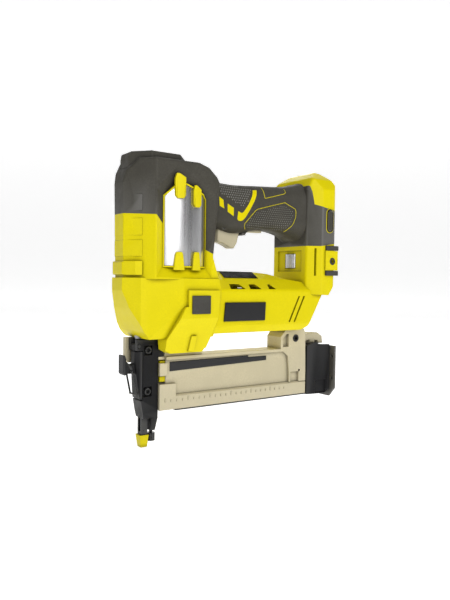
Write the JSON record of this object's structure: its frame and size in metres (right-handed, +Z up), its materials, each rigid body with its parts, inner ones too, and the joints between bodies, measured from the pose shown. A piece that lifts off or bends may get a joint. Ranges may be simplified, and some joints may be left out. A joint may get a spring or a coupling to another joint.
{
  "type": "cordless brad nailer",
  "caption": "Cordless brad nailer: faceted yellow-green head and motor housing, dark handle with battery foot, black nose, long sand-coloured magazine below.",
  "frame": {"origin": "centre of the round brad exit hole at the contact face of the no-mar nose pad", "axes": "+Z up along the driver line, +X towards the rear (magazine and battery foot), -Y the tool's left"},
  "size_m": [0.2621, 0.0804, 0.2799],
  "materials": {
    "housing_plastic": "bright yellow-green moulded plastic, satin",
    "grip_rubber": "dark grey soft overmould, fine texture",
    "pad_rubber": "dark grey solid rubber",
    "plate_plastic": "black gloss",
    "dark_plastic": "black moulded plastic",
    "sand_plastic": "sand coloured plastic, satin",
    "cover_metal": "bright drawn sheet, satin",
    "sand_cast": "sand coloured coating on a casting",
    "black_cast": "black coating on a casting",
    "black_steel": "black oxide steel",
    "steel": "ground steel",
    "motor_steel": "plated steel",
    "magnet": "sintered magnet",
    "cast_aluminium": "machined casting",
    "ring_plastic": "filled plastic",
    "board": "green board",
    "contact_brass": "plated contacts",
    "pad_yellow": "bright yellow-green soft plastic"
  },
  "bodies": {
    "housing": {"left_housing": "housing_plastic", "right_housing": "housing_plastic", "foot_crown": "housing_plastic", "left_cover_frame": "housing_plastic", "right_cover_frame": "housing_plastic", "left_grip": "grip_rubber", "right_grip": "grip_rubber", "head_cover": "grip_rubber", "top_lid": "grip_rubber", "rubber_pads": "pad_rubber", "blank_plates": "plate_plastic", "housing_screws": "black_steel", "left_cylinder_cover": "cover_metal", "right_cylinder_cover": "cover_metal", "trigger_pin": "black_steel", "trigger_spring": "steel", "switches": "dark_plastic", "motor_can": "motor_steel", "motor_magnets": "magnet", "motor_bearing": "steel", "gearbox": "cast_aluminium", "pump_cylinder": "cast_aluminium", "drive_cylinder": "cast_aluminium", "cylinder_head": "cast_aluminium", "bumper": "pad_rubber", "control_board": "board", "battery_liner": "dark_plastic", "battery_terminals": "contact_brass", "nose_casting": "black_cast", "nose_screws": "black_steel", "door_pin": "black_steel", "guide_block": "sand_cast", "contact_springs": "steel", "magazine_body": "sand_cast", "bracket_screws": "black_steel", "spare_pad": "pad_yellow", "pusher_spring": "steel"},
    "trigger": {"trigger": "sand_plastic"},
    "light_button": {"light_button": "sand_plastic"},
    "pressure_dial": {"pressure_dial": "cover_metal"},
    "rotor": {"motor_rotor": "motor_steel"},
    "crank": {"planet_carrier": "steel", "crank_wheel": "steel"},
    "pump": {"pump_piston": "cast_aluminium", "piston_ring": "ring_plastic", "wrist_pin": "steel", "connecting_rod": "cast_aluminium"},
    "driver": {"drive_piston": "cast_aluminium", "driver_blade": "steel"},
    "nose_door": {"nose_door": "black_cast"},
    "jam_lever": {"jam_lever": "black_cast"},
    "wire_bail": {"wire_bail": "black_steel"},
    "contact": {"contact_element": "black_steel", "nose_pad": "pad_yellow"},
    "depth_wheel": {"depth_wheel": "black_steel"},
    "magazine_slide": {"slide_rail": "black_steel", "rear_block": "black_cast", "rear_plate": "black_cast"},
    "magazine_latch": {"magazine_latch": "sand_plastic"},
    "pusher": {"pusher": "steel"}
  },
  "joints": [
    {"name": "trigger_pivot", "type": "hinge", "parent": "housing", "child": "trigger", "pos_m": [0.084, 0, 0.213], "axis": [0, -1, 0], "range_deg": [0, 12], "stiffness_Nm_per_rad": 0.15, "deforming": ["trigger_spring"]},
    {"name": "light_button_press", "type": "slide", "parent": "housing", "child": "light_button", "axis": [0, 0, 1], "range_m": [0, 0.0012], "stiffness_N_per_m": 300},
    {"name": "dial_turn", "type": "hinge", "parent": "housing", "child": "pressure_dial", "pos_m": [0.187, 0, 0.182], "axis": [0, 0, 1], "range_deg": [0, 270]},
    {"name": "rotor_spin", "type": "hinge", "parent": "housing", "child": "rotor", "pos_m": [0.12, 0, 0.134], "axis": [1, 0, 0], "continuous": true},
    {"name": "crank_spin", "type": "hinge", "parent": "housing", "child": "crank", "pos_m": [0.07, 0, 0.134], "axis": [1, 0, 0], "continuous": true},
    {"name": "pump_stroke", "type": "slide", "parent": "housing", "child": "pump", "axis": [0, 0, -1], "range_m": [0, 0.024]},
    {"name": "driver_stroke", "type": "slide", "parent": "housing", "child": "driver", "axis": [0, 0, -1], "range_m": [0, 0.068]},
    {"name": "door_swing", "type": "hinge", "parent": "housing", "child": "nose_door", "pos_m": [-0.008, 0, 0.097], "axis": [0, 1, 0], "range_deg": [0, 60]},
    {"name": "lever_swing", "type": "hinge", "parent": "nose_door", "child": "jam_lever", "pos_m": [-0.0162, 0, 0.0765], "axis": [0, -1, 0], "range_deg": [0, 35]},
    {"name": "bail_swing", "type": "hinge", "parent": "jam_lever", "child": "wire_bail", "pos_m": [-0.0144, 0, 0.0732], "axis": [0, 1, 0], "range_deg": [0, 46]},
    {"name": "contact_press", "type": "slide", "parent": "housing", "child": "contact", "axis": [0, 0, 1], "range_m": [0, 0.006], "stiffness_N_per_m": 500, "deforming": ["contact_springs"]},
    {"name": "depth_turn", "type": "hinge", "parent": "housing", "child": "depth_wheel", "pos_m": [0.009, 0, 0.009], "axis": [0, 0, 1], "range_deg": [0, 720]},
    {"name": "magazine_open", "type": "slide", "parent": "housing", "child": "magazine_slide", "axis": [1, 0, 0], "range_m": [0, 0.13]},
    {"name": "latch_press", "type": "hinge", "parent": "magazine_slide", "child": "magazine_latch", "pos_m": [0.211, 0, 0.0886], "axis": [0, 1, 0], "range_deg": [0, 12], "stiffness_Nm_per_rad": 0.1},
    {"name": "pusher_feed", "type": "slide", "parent": "magazine_slide", "child": "pusher", "axis": [1, 0, 0], "range_m": [0, 0.15], "deforming": ["pusher_spring"]}
  ],
  "couplings": [
    {"joint": "crank_spin", "follows": "rotor_spin", "ratio": 0.22},
    {"joint": "bail_swing", "follows": "lever_swing", "ratio": 1.3}
  ]
}
